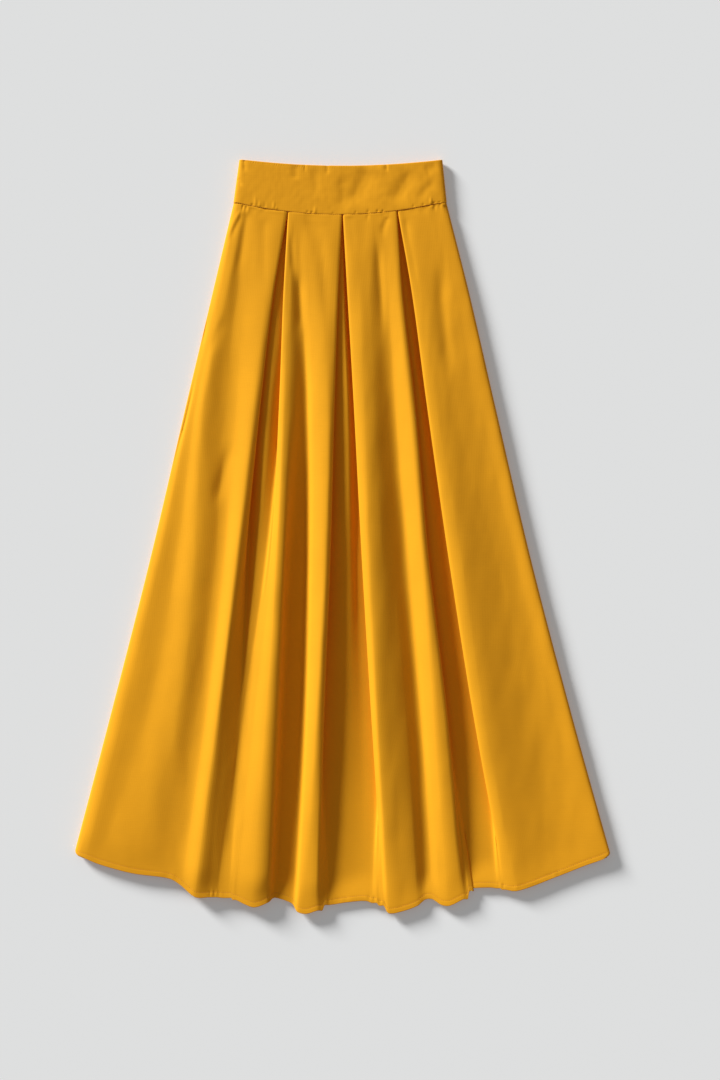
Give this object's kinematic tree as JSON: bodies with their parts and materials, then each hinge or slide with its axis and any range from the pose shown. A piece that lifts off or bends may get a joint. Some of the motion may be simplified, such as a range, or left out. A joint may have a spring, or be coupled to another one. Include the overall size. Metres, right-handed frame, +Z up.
{
  "type": "pleated maxi skirt",
  "caption": "Long high-waisted skirt in mustard cotton sateen, with a plain shaped waistband and inverted box pleats that open into soft folds, laid flat on its back.",
  "frame": {"origin": "on the surface that the skirt lies on, under the middle of its outline", "axes": "+X to the right as the front is seen, +Y from the hem towards the waist, +Z up off the surface, the way the front of the skirt faces"},
  "size_m": [0.8055, 1.1309, 0.0307],
  "materials": {
    "sateen_front_panel": "smooth cotton sateen with a soft sheen",
    "sateen_back_panel": "smooth cotton sateen with a soft sheen",
    "sateen_front_waistband": "smooth cotton sateen with a soft sheen",
    "sateen_back_waistband": "smooth cotton sateen with a soft sheen"
  },
  "bodies": {
    "root": {"front_panel": "sateen_front_panel", "back_panel": "sateen_back_panel", "front_waistband": "sateen_front_waistband", "back_waistband": "sateen_back_waistband"}
  },
  "joints": []
}
